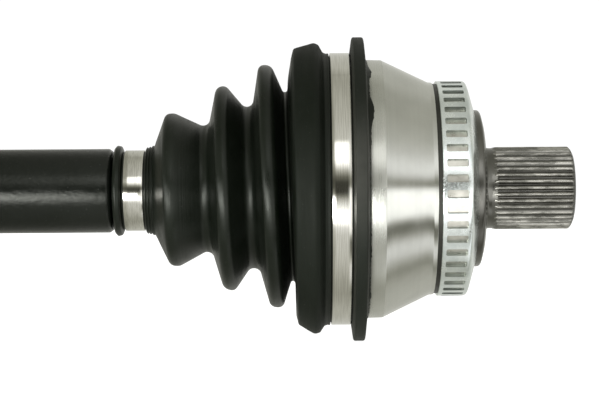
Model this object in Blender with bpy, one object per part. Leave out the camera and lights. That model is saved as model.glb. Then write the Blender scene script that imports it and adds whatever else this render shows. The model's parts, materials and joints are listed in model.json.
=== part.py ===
"""A front-wheel CV axle: a fixed six-ball joint at the wheel end, a tripod plunging joint at the gearbox end.

The axle lies along X. The splined stub for the wheel hub points to +X, the flange for the gearbox to -X.
The origin is on the axle's axis, midway between its two ends. Sizes below are in millimetres; the model is in
metres.
"""

import math

import bmesh
import bpy
from mathutils import Matrix, Vector

MM = 0.001

# Driving sizes
OVERALL_LENGTH = 540.0
WHEEL_JOINT_TO_STUB_END = 76.5
FLANGE_BACK_TO_TRIPOD = 39.0
WHEEL_X = OVERALL_LENGTH / 2 - WHEEL_JOINT_TO_STUB_END  # centre of the ball joint
TRIPOD_X = FLANGE_BACK_TO_TRIPOD - OVERALL_LENGTH / 2  # centre of the tripod joint
RUNNING_GAP = 0.3

# Shaft
BAR_R = 15.9
NECK_R = 12.7
SPLINE_R = 13.0
WHEEL_NECK_FROM_JOINT = -97.4  # where the thick bar ends before the wheel-end boot
TRIPOD_NECK_FROM_JOINT = 104.0
CIRCLIP_GROOVE_R = 11.6
CIRCLIP_R = 14.6
CIRCLIP_WIDTH = 1.6
CIRCLIP_SWEEP = math.radians(325)

# Ball joint. Everything that slides on something else is a sphere about the joint's centre.
BALL_COUNT = 6
BALL_R = 10.0
BALL_CIRCLE_R = 33.0
TRACK_DEPTH_R = 10.7
TRACK_HALF_WIDTH = 13.8  # the balls shift sideways in their tracks as the joint bends
TRACK_HALF_SWEEP = math.radians(41.5)
BELL_SPHERE_R = 31.6
CAGE_OUTER_R = 31.2
CAGE_INNER_R = 26.8
CAGE_HALF_WIDTH = 16.0
WINDOW_HALF_AXIAL = 10.3
WINDOW_HALF_AROUND = 12.0
RACE_R = 26.4
RACE_HALF_WIDTH = 12.5

# Bell housing and stub, as distances from the ball joint's centre
BELL_MOUTH_X = -18.5
BOOT_SEAT_R = 47.5
BELL_R = 49.0
BELL_CAVITY_END = 29.0
MOUTH_R = 40.3
MOUTH_CONE_X = -9.3
RING_SEAT_R = 38.6
SHOULDER_R = 29.7
SHOULDER_FACE_R = 21.0
SHOULDER_X = 42.4
STUB_NECK_R = 15.4
STUB_R = 15.6
STUB_ROOT_R = 14.3
STUB_TEETH = 38
STUB_SPLINE_X = 46.2
STUB_CHAMFER = 1.6
BOLT_BORE_R = 7.0
BOLT_BORE_DEPTH = 42.0

# Sensor ring
RING_TEETH = 45
RING_X = (25.1, 35.6)
RING_DISH_X = 38.8  # the ring's flange is dished outwards to the shoulder
RING_R = 40.7
RING_WALL = 1.3
RING_WINDOW_X = (26.6, 34.7)

# Boots and their clamps; the clamps' places are distances from the joint that each belongs to
BOOT_WALL = 2.2
BAND_LARGE = 0.85  # thickness of the two large bands
BAND_SMALL = 0.6
OUTER_LARGE_CLAMP_X = (-15.3, -7.9)
OUTER_SMALL_CLAMP_X = (-93.0, -85.2)
INNER_LARGE_CLAMP_X = (16.5, 24.3)
INNER_SMALL_CLAMP_X = (91.1, 98.9)
OUTER_LARGE_CLAMP_R = 50.7
INNER_LARGE_CLAMP_R = 44.3
SMALL_CLAMP_R = 14.8
LARGE_EAR = (4.4, 9.0)  # height above the band and width round it
SMALL_EAR = (3.6, 7.0)

# Tripod joint
TRUNNION_R = 7.5
TRUNNION_END = 31.4
SPIDER_HUB_R = 17.3
SPIDER_HALF_WIDTH = 11.0
ROLLER_CENTRE_R = 24.0
ROLLER_SPHERE_R = 12.5
ROLLER_HALF_WIDTH = 5.6
NEEDLE_IN_R = 7.8
NEEDLE_OUT_R = 9.6
NEEDLE_COUNT = 14
ROLLER_TRACK_R = 13.6
LOBE_R = 17.6
LOBE_BORE_R = 25.6  # the lobes reach a little inside the turned bore
TULIP_CORE_R = 31.5
TULIP_BORE_R = 26.0
TULIP_MOUTH_X = 26.0
COLLAR_R = 42.0
COLLAR_LENGTH = 13.0
FLANGE_R = 54.0
FLANGE_THICKNESS = 10.0
FLANGE_BOLT_COUNT = 6
FLANGE_BOLT_CIRCLE_R = 47.0
FLANGE_BOLT_R = 5.1
COVER_R = 40.0
COVER_DEPTH = 2.6

# Facets round each turned piece
COARSE = 28
ROUND = 36
BOOT_SIDES = 24


def material(name, colour, roughness, metallic):
    made = bpy.data.materials.new(name)
    made.use_nodes = True
    shader = made.node_tree.nodes["Principled BSDF"]
    shader.inputs["Base Color"].default_value = (*colour, 1.0)
    shader.inputs["Roughness"].default_value = roughness
    shader.inputs["Metallic"].default_value = metallic
    made.diffuse_color = (*colour, 1.0)
    return made


def finish(name, bm, look, origin=(0, 0, 0), turn=None, helper=False):
    """Makes an object of bm, whose points are in millimetres about origin, and clears bm."""
    bmesh.ops.recalc_face_normals(bm, faces=bm.faces)
    bmesh.ops.transform(bm, matrix=Matrix.Scale(MM, 4), verts=bm.verts)
    mesh = bpy.data.meshes.new(name)
    bm.to_mesh(mesh)
    bm.free()
    mesh.shade_smooth()
    mesh.set_sharp_from_angle(angle=math.radians(35))
    obj = bpy.data.objects.new(name, mesh)
    bpy.context.scene.collection.objects.link(obj)
    obj.location = Vector(origin) * MM
    if turn is not None:
        obj.rotation_euler = turn.to_euler()
    if helper:
        obj.hide_render = True
        obj.display_type = "WIRE"
    else:
        mesh.materials.append(look)
    return obj


def fillet(corners, steps=3):
    """Points along an outline whose corners are (x, r) or (x, r, fillet radius)."""
    points = []
    for i, corner in enumerate(corners):
        here = Vector(corner[:2])
        radius = corner[2] if len(corner) > 2 else 0.0
        if radius == 0.0 or i in (0, len(corners) - 1):
            points.append(here)
            continue
        before = Vector(corners[i - 1][:2]) - here
        after = Vector(corners[i + 1][:2]) - here
        longest = 0.48 * min(before.length, after.length)
        before.normalize()
        after.normalize()
        half = before.angle(after) / 2
        reach = min(radius / math.tan(half), longest)
        radius = reach * math.tan(half)
        centre = here + (before + after).normalized() * (radius / math.sin(half))
        start = here + before * reach - centre
        end = here + after * reach - centre
        swing = start.angle_signed(end)
        for k in range(steps + 1):
            angle = -swing * k / steps
            turned_point = Vector((
                start.x * math.cos(angle) - start.y * math.sin(angle),
                start.x * math.sin(angle) + start.y * math.cos(angle),
            ))
            points.append(centre + turned_point)
    return points


def arc(radius, first, last, steps):
    """(x, r) points of a circle about the origin; 0 degrees is its widest section, 90 degrees on the +X axis."""
    angles = [math.radians(first + (last - first) * k / steps) for k in range(steps + 1)]
    return [(radius * math.sin(a), radius * math.cos(a)) for a in angles]


def spun(outline, segments=ROUND, sweep=2 * math.pi):
    """bmesh of a closed (x, r) outline turned about X. A sweep under a full turn gives a C with closed ends."""
    bm = bmesh.new()
    verts = [bm.verts.new((p[0], 0.0, p[1])) for p in outline]
    if sweep < 2 * math.pi - 1e-6:
        section = [bm.faces.new(verts)]
        start = section
    else:
        pairs = zip(verts, verts[1:] + verts[:1])
        section = [bm.edges.new(pair) for pair in pairs if max(v.co.z for v in pair) > 1e-6]
        start = verts + section
    bmesh.ops.spin(bm, geom=start, axis=(1, 0, 0), cent=(0, 0, 0), angle=sweep, steps=segments)
    bmesh.ops.remove_doubles(bm, verts=bm.verts, dist=1e-4)
    return bm


def turned(name, outline, look, x=0.0, segments=ROUND, helper=False):
    return finish(name, spun(outline, segments), look, (x, 0, 0), helper=helper)


def prism(outline, x0, x1):
    """bmesh of a closed (y, z) outline extruded along X from x0 to x1."""
    bm = bmesh.new()
    face = bm.faces.new([bm.verts.new((x0, p[0], p[1])) for p in outline])
    grown = bmesh.ops.extrude_face_region(bm, geom=[face])
    moved = [g for g in grown["geom"] if isinstance(g, bmesh.types.BMVert)]
    bmesh.ops.translate(bm, vec=(x1 - x0, 0, 0), verts=moved)
    return bm


def circle(radius, count, cy=0.0, cz=0.0):
    angles = [2 * math.pi * k / count for k in range(count)]
    return [(cy + radius * math.cos(a), cz + radius * math.sin(a)) for a in angles]


def toothed(tip_r, root_r, teeth):
    """Outline of a splined shaft: each tooth has a flat tip, and meets the next one in a V."""
    points = []
    pitch = 2 * math.pi / teeth
    for k in range(teeth):
        for share, radius in ((-0.5, root_r), (-0.16, tip_r), (0.16, tip_r)):
            angle = pitch * (k + share)
            points.append((radius * math.cos(angle), radius * math.sin(angle)))
    return points


def around(bm_maker, count, first=0.0):
    """One bmesh holding count copies of what bm_maker makes, spaced evenly about X."""
    whole = bmesh.new()
    for k in range(count):
        one = bm_maker()
        spin = Matrix.Rotation(first + 2 * math.pi * k / count, 4, "X")
        bmesh.ops.transform(one, matrix=spin, verts=one.verts)
        bmesh.ops.recalc_face_normals(one, faces=one.faces)
        mesh = bpy.data.meshes.new("part")
        one.to_mesh(mesh)
        one.free()
        whole.from_mesh(mesh)
        bpy.data.meshes.remove(mesh)
    return whole


def boolean(obj, other, operation):
    modifier = obj.modifiers.new(operation.title(), "BOOLEAN")
    modifier.operation = operation
    modifier.object = other
    modifier.solver = "EXACT"


def box(x, y, z):
    """bmesh of a box between the limits (low, high) on each axis."""
    return prism([(y[0], z[0]), (y[1], z[0]), (y[1], z[1]), (y[0], z[1])], *x)


# --- Looks -----------------------------------------------------------------------------------

PAINTED = material("shaft_paint", (0.022, 0.024, 0.025), 0.32, 0.0)
STEEL = material("turned_steel", (0.62, 0.62, 0.60), 0.28, 1.0)
DARK_STEEL = material("hardened_steel", (0.30, 0.28, 0.26), 0.38, 1.0)
BEARING_STEEL = material("bearing_steel", (0.72, 0.72, 0.72), 0.12, 1.0)
ZINC = material("zinc_plate", (0.74, 0.80, 0.82), 0.30, 1.0)
STAINLESS = material("clamp_steel", (0.76, 0.74, 0.69), 0.22, 1.0)
RUBBER = material("boot_rubber", (0.018, 0.019, 0.018), 0.45, 0.0)
PLASTIC = material("thrust_plastic", (0.78, 0.76, 0.70), 0.5, 0.0)


# --- Shaft -----------------------------------------------------------------------------------


def make_shaft():
    wheel_bar = WHEEL_X + WHEEL_NECK_FROM_JOINT
    tripod_bar = TRIPOD_X + TRIPOD_NECK_FROM_JOINT
    clip_slot = CIRCLIP_WIDTH + RUNNING_GAP
    bar = [
        (TRIPOD_X - 16.0, 0),
        (TRIPOD_X - 16.0, SPLINE_R - 1.0),
        (TRIPOD_X - 15.0, SPLINE_R),
        (tripod_clip_x() - RUNNING_GAP, SPLINE_R),
        (tripod_clip_x() - RUNNING_GAP, CIRCLIP_GROOVE_R),
        (tripod_clip_x() + clip_slot, CIRCLIP_GROOVE_R),
        (tripod_clip_x() + clip_slot, SPLINE_R),
        (TRIPOD_X + SPIDER_HALF_WIDTH + 0.5, SPLINE_R),
        (TRIPOD_X + SPIDER_HALF_WIDTH + 0.8, NECK_R),
        (tripod_bar - 2.2, NECK_R),
        (tripod_bar, BAR_R - 0.9),
        (tripod_bar + 1.2, BAR_R),
        (wheel_bar - 1.2, BAR_R),
        (wheel_bar, BAR_R - 0.9),
        (wheel_bar + 0.6, NECK_R),
        (WHEEL_X - RACE_HALF_WIDTH - 9.0, NECK_R),
        (WHEEL_X - RACE_HALF_WIDTH - 8.7, SPLINE_R),
        (wheel_clip_x() - RUNNING_GAP, SPLINE_R),
        (wheel_clip_x() - RUNNING_GAP, CIRCLIP_GROOVE_R),
        (wheel_clip_x() + clip_slot, CIRCLIP_GROOVE_R),
        (wheel_clip_x() + clip_slot, SPLINE_R),
        (WHEEL_X + 17.0, SPLINE_R),
        (WHEEL_X + 18.0, SPLINE_R - 1.0),
        (WHEEL_X + 18.0, 0),
    ]
    return turned("axle_shaft", bar, PAINTED, segments=COARSE)


def wheel_clip_x():
    return WHEEL_X + RACE_HALF_WIDTH + RUNNING_GAP


def tripod_clip_x():
    return TRIPOD_X - SPIDER_HALF_WIDTH - RUNNING_GAP - CIRCLIP_WIDTH


def make_circlip(name, x):
    inner = CIRCLIP_GROOVE_R + RUNNING_GAP
    section = [(0, inner), (CIRCLIP_WIDTH, inner), (CIRCLIP_WIDTH, CIRCLIP_R), (0, CIRCLIP_R)]
    return finish(name, spun(section, COARSE, CIRCLIP_SWEEP), DARK_STEEL, (x, 0, 0))


# --- Wheel-end ball joint --------------------------------------------------------------------


def ball_tracks(name):
    """Six curved tracks, as one cutter: an ellipse swept along a circle of the ball circle's radius."""

    def one_track():
        bm = bmesh.new()
        ring = []
        for a in (2 * math.pi * k / 12 for k in range(12)):
            ring.append(bm.verts.new((
                0.0, TRACK_HALF_WIDTH * math.sin(a), BALL_CIRCLE_R + TRACK_DEPTH_R * math.cos(a)
            )))
        face = bm.faces.new(ring)
        bmesh.ops.rotate(
            bm, verts=bm.verts, cent=(0, 0, 0), matrix=Matrix.Rotation(-TRACK_HALF_SWEEP, 3, "Y")
        )
        bmesh.ops.spin(
            bm, geom=[face], axis=(0, 1, 0), cent=(0, 0, 0), angle=2 * TRACK_HALF_SWEEP, steps=8
        )
        bmesh.ops.remove_doubles(bm, verts=bm.verts, dist=1e-5)
        return bm

    # The first track is turned from +Z to +Y, so that two balls lie on the Y axis.
    return finish(name, around(one_track, BALL_COUNT, -math.pi / 2), None, (WHEEL_X, 0, 0), helper=True)


def make_bell():
    cavity = arc(BELL_SPHERE_R, math.degrees(math.asin(MOUTH_CONE_X / BELL_SPHERE_R)), 66, 6)
    outline = [
        (BELL_MOUTH_X, MOUTH_R),
        (BELL_MOUTH_X, BOOT_SEAT_R),
        (-1.6, BOOT_SEAT_R),
        (-1.6, BELL_R),
        (4.0, BELL_R - 0.2),
        (21.7, 40.3),
        (23.8, 40.2),
        (23.8, RING_SEAT_R),
        (33.9, RING_SEAT_R),
        (33.9, SHOULDER_R),
        (SHOULDER_X - 1.7, SHOULDER_R),
        (SHOULDER_X - 0.6, SHOULDER_R - 1.9),
        (SHOULDER_X, SHOULDER_FACE_R),
        (SHOULDER_X, STUB_NECK_R + 1.2),
        (SHOULDER_X + 1.2, STUB_NECK_R),
        (STUB_SPLINE_X + 0.5, STUB_NECK_R),
        (STUB_SPLINE_X + 0.5, 0),
        (BELL_CAVITY_END, 0),
        (BELL_CAVITY_END, cavity[-1][1]),
    ]
    bell = turned("outer_joint_housing", outline + cavity[::-1], STEEL, WHEEL_X)
    spline = prism(toothed(STUB_R, STUB_ROOT_R, STUB_TEETH), STUB_SPLINE_X, WHEEL_JOINT_TO_STUB_END)
    boolean(bell, finish("stub_spline", spline, None, (WHEEL_X, 0, 0), helper=True), "UNION")
    end = WHEEL_JOINT_TO_STUB_END
    chamfer = [
        (end - STUB_CHAMFER, STUB_R + 0.5),
        (end + 1, STUB_R + 0.5),
        (end + 1, STUB_R - 4.1),
    ]
    boolean(bell, turned("stub_chamfer", chamfer, None, WHEEL_X, STUB_TEETH, helper=True), "DIFFERENCE")
    bore = [
        (end - BOLT_BORE_DEPTH, 0),
        (end - BOLT_BORE_DEPTH, BOLT_BORE_R),
        (end - 1.5, BOLT_BORE_R),
        (end + 1, BOLT_BORE_R + 2.5),
        (end + 1, 0),
    ]
    boolean(bell, turned("hub_bolt_bore", bore, None, WHEEL_X, 24, helper=True), "DIFFERENCE")
    boolean(bell, ball_tracks("bell_tracks"), "DIFFERENCE")
    return bell


def make_sensor_ring():
    x0, x1 = RING_X
    inner = RING_R - RING_WALL
    flange_r = SHOULDER_R + RUNNING_GAP
    outline = [
        (x0, inner),
        (x0, RING_R),
        (x1, RING_R),
        (x1 + 1.3, RING_R - 1.9),
        (RING_DISH_X, flange_r),
        (RING_DISH_X - RING_WALL, flange_r),
        (x1 - 0.6, inner),
    ]
    ring = turned("abs_ring", outline, ZINC, WHEEL_X, RING_TEETH)
    half = math.pi / RING_TEETH / 2 * RING_R

    def window():
        return box(RING_WINDOW_X, (-half, half), (inner - 2, RING_R + 2))

    windows = around(window, RING_TEETH, math.pi / RING_TEETH)
    boolean(ring, finish("ring_windows", windows, None, (WHEEL_X, 0, 0), helper=True), "DIFFERENCE")
    return ring


def make_cage():
    edge = math.degrees(math.asin(CAGE_HALF_WIDTH / CAGE_OUTER_R))
    inner_edge = math.degrees(math.asin(CAGE_HALF_WIDTH / CAGE_INNER_R))
    outline = arc(CAGE_OUTER_R, -edge, edge, 5) + arc(CAGE_INNER_R, inner_edge, -inner_edge, 5)
    cage = turned("outer_ball_cage", outline, DARK_STEEL, WHEEL_X)
    axial, across = WINDOW_HALF_AXIAL, WINDOW_HALF_AROUND

    def window():
        return box((-axial, axial), (-across, across), (18, 38))

    windows = around(window, BALL_COUNT, -math.pi / 2)
    boolean(cage, finish("cage_windows", windows, None, (WHEEL_X, 0, 0), helper=True), "DIFFERENCE")
    return cage


def make_inner_race():
    edge = math.degrees(math.asin(RACE_HALF_WIDTH / RACE_R))
    bore = SPLINE_R + RUNNING_GAP
    outline = arc(RACE_R, -edge, edge, 6) + [(RACE_HALF_WIDTH, bore), (-RACE_HALF_WIDTH, bore)]
    race = turned("outer_inner_race", outline, DARK_STEEL, WHEEL_X)
    boolean(race, ball_tracks("race_tracks"), "DIFFERENCE")
    return race


def make_balls():
    for k in range(BALL_COUNT):
        angle = 2 * math.pi * k / BALL_COUNT
        bm = bmesh.new()
        bmesh.ops.create_uvsphere(bm, u_segments=14, v_segments=8, radius=BALL_R)
        place = (WHEEL_X, BALL_CIRCLE_R * math.cos(angle), BALL_CIRCLE_R * math.sin(angle))
        finish(f"outer_ball_{k + 1}", bm, BEARING_STEEL, place)


def make_thrust_pieces():
    """Plastic thrust ring and dished spring washer, on the shaft against the race's mouth side."""
    bore = SPLINE_R + RUNNING_GAP
    face = WHEEL_X - RACE_HALF_WIDTH - RUNNING_GAP
    washer = [(-1.4, bore), (0, bore + 0.2), (0, bore + 1.4), (-2.2, 19.0), (-3.4, 18.6)]
    turned("outer_dished_washer", washer, BEARING_STEEL, face, 24)
    ring_face = face - 3.4 - RUNNING_GAP
    ring = [(-3.6, bore), (0, bore), (0, 18.0), (-0.8, 18.6), (-3.6, 17.0)]
    turned("outer_thrust_ring", ring, PLASTIC, ring_face, 24)


# --- Boots and clamps ------------------------------------------------------------------------


def inward(points, distance):
    """Points moved towards the axis side of the line, square to it."""
    moved = []
    for i, point in enumerate(points):
        ahead = points[min(i + 1, len(points) - 1)] - points[max(i - 1, 0)]
        ahead.normalize()
        moved.append(point + Vector((ahead.y, -ahead.x)) * distance)
    return moved


def boot_outline(small_end, bellows, large_end, small_seat, large_seat):
    """Closed outline of a boot: outer side from the small end to the large one, and inner side back."""
    outer = fillet(small_end + bellows + large_end, 1)
    corners = [small_end[-1], *bellows, large_end[0]]
    inner = inward([Vector(corner[:2]) for corner in corners], BOOT_WALL)[1:-1]
    return outer + [Vector(p) for p in large_seat] + inner[::-1] + [Vector(p) for p in small_seat]


OUTER_SMALL_END = [
    (-96.4, 13.0), (-96.4, 16.2), (-95.5, 17.1), (-93.6, 16.9), (-93.2, 14.5), (-85.0, 14.5),
    (-84.7, 16.0), (-82.8, 16.7),
]
OUTER_BELLOWS = [
    (-81.3, 17.3, 0.8),
    (-76.4, 28.4, 2.7),
    (-73.1, 28.7, 3.2),
    (-60.7, 22.7, 2.6),
    (-56.8, 37.8, 3.4),
    (-53.1, 38.8, 2.4),
    (-44.0, 27.1, 2.4),
    (-39.9, 45.5, 2.4),
    (-35.3, 45.8, 3.2),
    (-29.9, 32.6, 1.0),
]
OUTER_LARGE_END = [
    (-28.9, 49.6, 0.5), (-28.1, 52.3, 1.0), (-21.2, 55.4, 1.5), (-19.3, 54.5, 1.2), (-17.7, 51.9),
    (-15.7, 51.6), (-15.5, 50.4), (-7.6, 50.4), (-7.0, 57.5), (-2.8, 57.5), (-1.7, 48.1),
]


def make_outer_boot():
    seat_r = BOOT_SEAT_R + 2 * RUNNING_GAP
    large_seat = [(BELL_MOUTH_X - 0.5, seat_r), (BELL_MOUTH_X - 1.2, 49.4), (-28.2, 49.4)]
    small_seat = [(-82.0, 13.0)]
    outline = boot_outline(OUTER_SMALL_END, OUTER_BELLOWS, OUTER_LARGE_END, small_seat, large_seat)
    return turned("outer_boot", outline, RUBBER, WHEEL_X, BOOT_SIDES)


INNER_SMALL_END = [
    (101.8, 13.0), (101.8, 16.2), (100.9, 16.9), (99.2, 16.9), (99.2, 14.5), (90.8, 14.5),
    (90.6, 16.2), (87.6, 17.5),
]
INNER_BELLOWS = [
    (83.0, 29.5, 3.6),
    (73.5, 20.5, 2.4),
    (66.5, 37.5, 3.4),
    (57.5, 22.5, 2.4),
    (50.5, 44.0, 3.4),
    (41.5, 25.5, 2.2),
    (36.0, 50.0, 3.0),
    (29.6, 32.0, 1.4),
]
INNER_LARGE_END = [
    (29.6, 45.6, 1.2), (26.2, 47.0, 1.0), (24.6, 45.2), (24.6, 44.0), (16.2, 44.0), (16.2, 46.4),
    (13.8, 46.4), (13.8, 42.6),
]


def mirrored(points):
    """The same outline with its X direction turned round, so that it runs from small end to large one."""
    return [(-p[0], *p[1:]) for p in points]


def make_inner_boot():
    seat_r = COLLAR_R + 2 * RUNNING_GAP
    large_seat = [(-(TULIP_MOUTH_X + 0.5), seat_r), (-27.4, 43.4)]
    small_seat = [(-87.2, 13.0)]
    outline = boot_outline(
        mirrored(INNER_SMALL_END), mirrored(INNER_BELLOWS), mirrored(INNER_LARGE_END), small_seat, large_seat
    )
    back = [(-p[0], p[1]) for p in outline]
    return turned("inner_boot", back, RUBBER, TRIPOD_X, BOOT_SIDES)


def make_clamp(name, joint_x, span, inner, thickness, ear_size, segments):
    """Ear clamp: a flat band and the pinched ear that tightens it, on the far side of the axle."""
    x0, x1 = joint_x + span[0], joint_x + span[1]
    outer = inner + thickness
    section = [(x0, inner), (x1, inner), (x1, outer), (x0, outer)]
    band = turned(name, section, STAINLESS, segments=segments)
    height, width = ear_size
    half = width / 2
    top = outer + height
    ear = [
        (-half, inner + 0.2), (half, inner + 0.2), (half, outer + 0.6), (half * 0.62, outer + 1.2),
        (half * 0.78, top - 0.8), (half * 0.5, top), (-half * 0.5, top), (-half * 0.78, top - 0.8),
        (-half * 0.62, outer + 1.2), (-half, outer + 0.6),
    ]
    sideways = [(r, across) for across, r in ear]
    boolean(band, finish(f"{name}_ear", prism(sideways, x0 + 0.4, x1 - 0.4), None, helper=True), "UNION")
    return band


def make_clamps():
    large_wheel = (WHEEL_X, OUTER_LARGE_CLAMP_X, OUTER_LARGE_CLAMP_R)
    large_tripod = (TRIPOD_X, INNER_LARGE_CLAMP_X, INNER_LARGE_CLAMP_R)
    make_clamp("outer_boot_large_clamp", *large_wheel, BAND_LARGE, LARGE_EAR, ROUND)
    make_clamp("inner_boot_large_clamp", *large_tripod, BAND_LARGE, LARGE_EAR, ROUND)
    small_wheel = (WHEEL_X, OUTER_SMALL_CLAMP_X, SMALL_CLAMP_R)
    small_tripod = (TRIPOD_X, INNER_SMALL_CLAMP_X, SMALL_CLAMP_R)
    make_clamp("outer_boot_small_clamp", *small_wheel, BAND_SMALL, SMALL_EAR, COARSE)
    make_clamp("inner_boot_small_clamp", *small_tripod, BAND_SMALL, SMALL_EAR, COARSE)


# --- Gearbox-end tripod joint ----------------------------------------------------------------


def make_tulip():
    back = -FLANGE_BACK_TO_TRIPOD
    front = back + FLANGE_THICKNESS
    collar = TULIP_MOUTH_X - COLLAR_LENGTH
    outline = [
        (back, COVER_R),
        (back, FLANGE_R - 1.0),
        (back + 1.0, FLANGE_R),
        (front - 1.0, FLANGE_R),
        (front, FLANGE_R - 1.0),
        (front, TULIP_CORE_R),
        (collar, TULIP_CORE_R),
        (collar, COLLAR_R - 0.8),
        (collar + 0.8, COLLAR_R),
        (TULIP_MOUTH_X, COLLAR_R),
        (TULIP_MOUTH_X, TULIP_BORE_R + 5.8),
        (TULIP_MOUTH_X - 14, TULIP_BORE_R),
        (back + COVER_DEPTH, TULIP_BORE_R),
        (back + COVER_DEPTH, COVER_R),
    ]
    tulip = turned("inner_joint_housing", outline, DARK_STEEL, TRIPOD_X)

    def lobe():
        return prism(circle(LOBE_R, 32, ROLLER_CENTRE_R), front - 2, collar + 2)

    def track():
        return prism(circle(ROLLER_TRACK_R, 32, ROLLER_CENTRE_R), back - 5, TULIP_MOUTH_X + 5)

    def bore():
        return prism(circle(LOBE_BORE_R, ROUND), front - 5, collar + 5)

    def bolt_hole():
        return prism(circle(FLANGE_BOLT_R, 16, FLANGE_BOLT_CIRCLE_R), back - 2, front + 2)

    place = (TRIPOD_X, 0, 0)
    boolean(tulip, finish("tulip_lobes", around(lobe, 3), None, place, helper=True), "UNION")
    boolean(tulip, finish("tulip_bore", bore(), None, place, helper=True), "DIFFERENCE")
    boolean(tulip, finish("tulip_tracks", around(track, 3), None, place, helper=True), "DIFFERENCE")
    holes = around(bolt_hole, FLANGE_BOLT_COUNT, math.radians(30))
    boolean(tulip, finish("flange_holes", holes, None, place, helper=True), "DIFFERENCE")
    return tulip


def make_cover():
    """Pressed steel cap that closes the back of the tripod housing inside the flange."""
    back = -FLANGE_BACK_TO_TRIPOD
    rim = COVER_R - RUNNING_GAP
    outline = [
        (back + 0.3, 0),
        (back + 0.3, 22.0),
        (back + 1.0, 24.0),
        (back + 0.2, 30.0),
        (back + 0.2, rim),
        (back + COVER_DEPTH - RUNNING_GAP, rim),
        (back + COVER_DEPTH - RUNNING_GAP, 0),
    ]
    return turned("inner_end_cover", outline, ZINC, TRIPOD_X, COARSE)


def make_spider():
    bore = SPLINE_R + RUNNING_GAP
    half = SPIDER_HALF_WIDTH
    outline = [
        (-half, bore), (-half, SPIDER_HUB_R - 2.5), (-half + 2.5, SPIDER_HUB_R), (half - 2.5, SPIDER_HUB_R),
        (half, SPIDER_HUB_R - 2.5), (half, bore),
    ]
    spider = turned("tripod_spider", outline, DARK_STEEL, TRIPOD_X)

    def trunnion():
        bm = spun([
            (15.0, 0), (15.0, TRUNNION_R), (TRUNNION_END - 0.8, TRUNNION_R), (TRUNNION_END, TRUNNION_R - 0.8),
            (TRUNNION_END, 0),
        ], 24)
        bmesh.ops.rotate(bm, verts=bm.verts, cent=(0, 0, 0), matrix=Matrix.Rotation(math.pi / 2, 3, "Z"))
        return bm

    trunnions = finish("trunnions", around(trunnion, 3), None, (TRIPOD_X, 0, 0), helper=True)
    boolean(spider, trunnions, "UNION")
    return spider


def needle_ring():
    """bmesh of a ring of needle rollers side by side: ridged outside, smooth inside."""
    bm = bmesh.new()
    half = ROLLER_HALF_WIDTH - 0.6
    count = 2 * NEEDLE_COUNT
    valley_r = (NEEDLE_IN_R + NEEDLE_OUT_R) / 2 + 0.35
    loops = []
    for x in (-half, half):
        for ridge_r, dip_r in ((NEEDLE_OUT_R, valley_r), (NEEDLE_IN_R, NEEDLE_IN_R)):
            loop = []
            for j in range(count):
                angle = 2 * math.pi * j / count
                r = ridge_r if j % 2 == 0 else dip_r
                loop.append(bm.verts.new((x, r * math.cos(angle), r * math.sin(angle))))
            loops.append(loop)
    outer0, inner0, outer1, inner1 = loops
    for a, b in ((outer0, outer1), (outer1, inner1), (inner1, inner0), (inner0, outer0)):
        for j in range(count):
            n = (j + 1) % count
            bm.faces.new((a[j], a[n], b[n], b[j]))
    return bm


def make_rollers():
    """Three spherical rollers, each on a ring of needles and held by a flat retaining ring."""
    edge = math.degrees(math.asin(ROLLER_HALF_WIDTH / ROLLER_SPHERE_R))
    bore = NEEDLE_OUT_R + 0.2
    roller = arc(ROLLER_SPHERE_R, -edge, edge, 4) + [(ROLLER_HALF_WIDTH, bore), (-ROLLER_HALF_WIDTH, bore)]
    x0, x1 = ROLLER_HALF_WIDTH + 0.4, ROLLER_HALF_WIDTH + 1.3
    r0, r1 = TRUNNION_R + 0.2, NEEDLE_OUT_R + 0.6
    retainer = [(x0, r0), (x1, r0), (x1, r1), (x0, r1)]
    for k in range(3):
        out_along_y = Matrix.Rotation(2 * math.pi * k / 3, 3, "X") @ Matrix.Rotation(math.pi / 2, 3, "Z")
        centre = Vector((TRIPOD_X, 0, 0)) + out_along_y @ Vector((ROLLER_CENTRE_R, 0, 0))
        finish(f"tripod_roller_{k + 1}", spun(roller, 24), BEARING_STEEL, centre, out_along_y)
        finish(f"tripod_needles_{k + 1}", needle_ring(), BEARING_STEEL, centre, out_along_y)
        finish(f"tripod_retainer_{k + 1}", spun(retainer, 24), DARK_STEEL, centre, out_along_y)


def main():
    for obj in list(bpy.data.objects):
        bpy.data.objects.remove(obj)
    make_shaft()
    make_bell()
    make_sensor_ring()
    make_cage()
    make_inner_race()
    make_balls()
    make_thrust_pieces()
    make_circlip("outer_circlip", wheel_clip_x())
    make_outer_boot()
    make_inner_boot()
    make_clamps()
    make_tulip()
    make_cover()
    make_spider()
    make_rollers()
    make_circlip("tripod_circlip", tripod_clip_x())


main()
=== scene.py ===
"""Looks of the CV axle: fine meshes, materials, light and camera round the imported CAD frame.

Lengths are millimetres. Outlines are (x, r) points from the centre of the joint they belong to.
"""

import json
import math
import random

import bmesh
import bpy
from mathutils import Matrix, Vector, noise


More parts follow.
